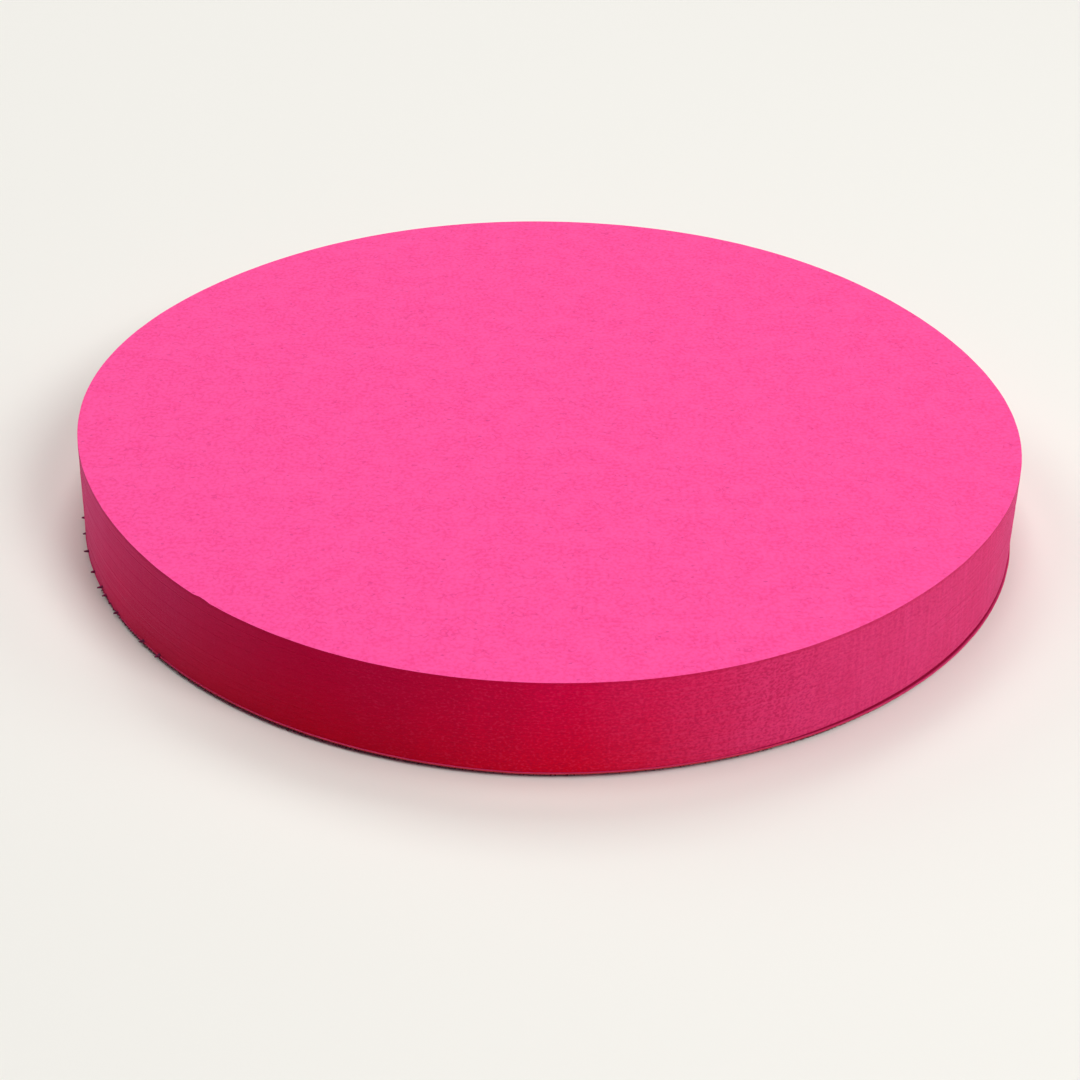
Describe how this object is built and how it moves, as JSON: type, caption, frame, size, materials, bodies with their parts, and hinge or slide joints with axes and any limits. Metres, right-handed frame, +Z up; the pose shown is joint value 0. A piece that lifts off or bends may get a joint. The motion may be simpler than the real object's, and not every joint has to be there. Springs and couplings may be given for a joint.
{
  "type": "sticky note pad",
  "caption": "Round pad of plain fluorescent pink sticky notes with a die-cut edge, the last sheet partly let go at the near side.",
  "frame": {"origin": "centre of the round base, on the table", "axes": "+Z up through the pad, +X to the right and +Y away from the viewer as in the picture"},
  "size_m": [0.07, 0.07, 0.0075],
  "materials": {
    "pink_note_paper": "matt uncoated fluorescent pink note paper with a die-cut edge",
    "pink_last_sheet": "matt uncoated pink note paper, one sheet"
  },
  "bodies": {
    "root": {"note_stack": "pink_note_paper", "bottom_sheet": "pink_last_sheet"}
  },
  "joints": []
}
